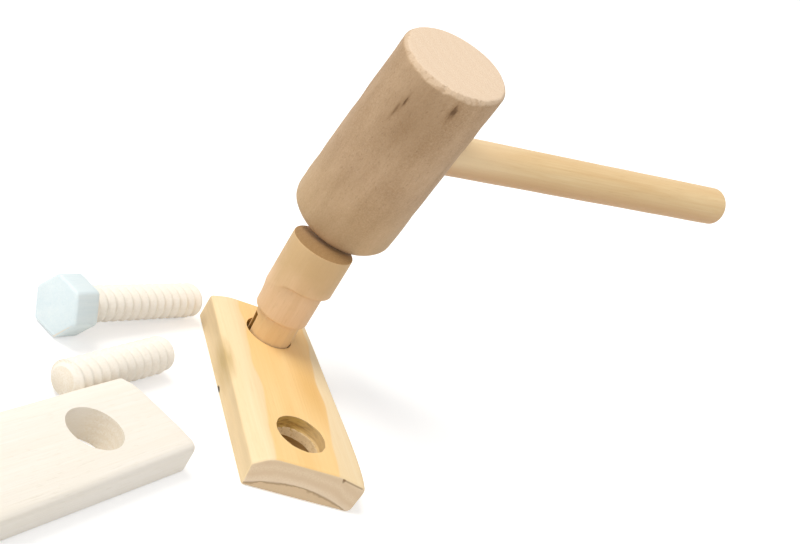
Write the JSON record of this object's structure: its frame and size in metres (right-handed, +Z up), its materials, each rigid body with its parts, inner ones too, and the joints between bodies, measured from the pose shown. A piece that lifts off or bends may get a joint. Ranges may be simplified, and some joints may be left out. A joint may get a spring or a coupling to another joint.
{
  "type": "wooden toy tool set",
  "caption": "Wooden toy tool set: barrel mallet on a split peg standing in a drilled board, with a spare board, a threaded stud and a headed bolt beside it.",
  "frame": {"origin": "on the drilled board's underside, midway between its holes", "axes": "+Z up, +Y along the drilled board towards the peg, +X across the board towards the mallet's handle"},
  "size_m": [0.2915, 0.1835, 0.1246],
  "materials": {
    "board_wood": "sanded, oiled",
    "barrel_wood": "turned, sanded",
    "handle_wood": "turned, sanded",
    "peg_wood": "turned, sanded",
    "loose_wood": "sanded, pale",
    "blue_paint": "thin matt paint"
  },
  "bodies": {
    "board": {"drilled_board": "board_wood"},
    "peg": {"split_peg": "peg_wood"},
    "mallet": {"mallet_head": "barrel_wood", "mallet_handle": "handle_wood"},
    "spare": {"spare_board": "loose_wood"},
    "stud": {"threaded_stud": "loose_wood"},
    "bolt": {"bolt_shank": "loose_wood", "bolt_head": "blue_paint"}
  },
  "joints": [
    {"name": "peg_drive", "type": "slide", "parent": "board", "child": "peg", "axis": [0, 0, 1], "range_m": [-0.0062, 0.03]},
    {"name": "mallet_swing", "type": "hinge", "parent": "peg", "child": "mallet", "pos_m": [0.13109, 0.05775, 0.10083], "axis": [-0.2316, 0.934, 0.272], "range_deg": [0, 70]},
    {"name": "spare_board_lift", "type": "slide", "parent": "board", "child": "spare", "axis": [0, 0, 1], "range_m": [0, 0.08]},
    {"name": "stud_lift", "type": "slide", "parent": "board", "child": "stud", "axis": [0, 0, 1], "range_m": [0, 0.08]},
    {"name": "bolt_lift", "type": "slide", "parent": "board", "child": "bolt", "axis": [0, 0, 1], "range_m": [0, 0.08]}
  ]
}
